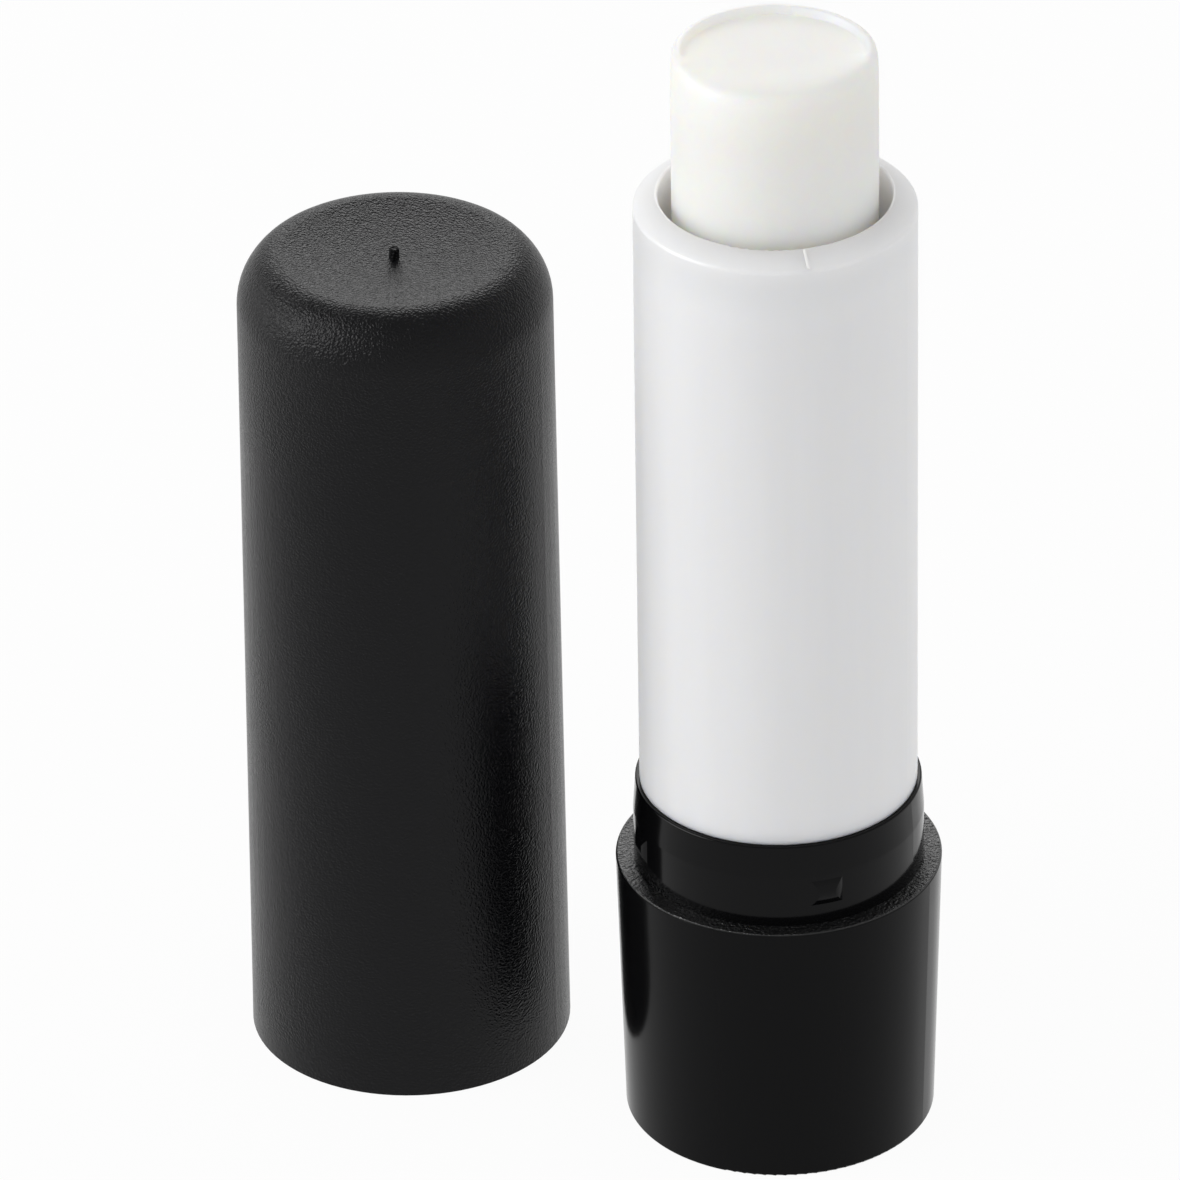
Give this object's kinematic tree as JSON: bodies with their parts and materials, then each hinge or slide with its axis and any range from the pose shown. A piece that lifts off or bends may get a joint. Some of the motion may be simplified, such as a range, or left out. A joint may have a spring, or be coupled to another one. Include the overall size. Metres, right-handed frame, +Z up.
{
  "type": "lip balm stick",
  "caption": "Round twist-up lip balm stick: turning the black base raises the balm out of the white tube. The black cap stands beside it.",
  "frame": {"origin": "centre of the base's foot, on the stick's axis", "axes": "+Z up along the stick's axis towards the balm; the cap stands on the -X side"},
  "size_m": [0.0428, 0.019, 0.0695],
  "materials": {
    "base": "black polypropylene with a fine satin grain",
    "spindle": "plain moulded white plastic",
    "collar": "polished black plastic",
    "tube": "white polypropylene with a soft sheen",
    "carrier": "plain moulded white plastic",
    "balm": "smooth wax, slightly cream",
    "cap": "black polypropylene with a fine satin grain"
  },
  "bodies": {
    "base": {"base": "base", "collar": "collar", "spindle": "spindle"},
    "tube": {"tube": "tube"},
    "carrier": {"carrier": "carrier", "balm": "balm"},
    "cap": {"cap": "cap"}
  },
  "joints": [
    {"name": "tube_twist", "type": "hinge", "parent": "base", "child": "tube", "pos_m": [0, 0, 0], "axis": [0, 0, 1], "range_deg": [-990, 2520]},
    {"name": "carrier_slide", "type": "slide", "parent": "tube", "child": "carrier", "axis": [0, 0, 1], "range_m": [-0.011, 0.028]},
    {"name": "cap_lift", "type": "slide", "parent": "base", "child": "cap", "axis": [0, 0, 1], "range_m": [0, 0.075]}
  ],
  "couplings": [
    {"joint": "carrier_slide", "follows": "tube_twist", "m_per_rad": 0.00063661}
  ]
}
